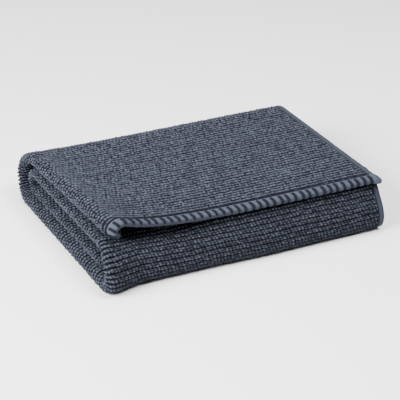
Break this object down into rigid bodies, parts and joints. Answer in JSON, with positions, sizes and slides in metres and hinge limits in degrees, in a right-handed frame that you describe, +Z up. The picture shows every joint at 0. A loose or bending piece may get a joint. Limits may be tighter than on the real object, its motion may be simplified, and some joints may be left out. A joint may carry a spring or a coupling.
{
  "type": "folded bath towel",
  "caption": "Ribbed terry bath towel, folded along its middle and then rolled flat in layers, with an overcast hem across the front.",
  "frame": {"origin": "centre of the block's footprint, on the surface that it lies on", "axes": "+X along the hem, from the lengthwise fold to the selvedges; +Y from the front hem to the back; +Z up"},
  "size_m": [0.3552, 0.288, 0.0807],
  "materials": {
    "terry": "ribbed cotton terry, matt",
    "hem_yarn": "cotton overcast stitching, matt"
  },
  "bodies": {
    "root": {"towel": "terry"}
  },
  "joints": []
}
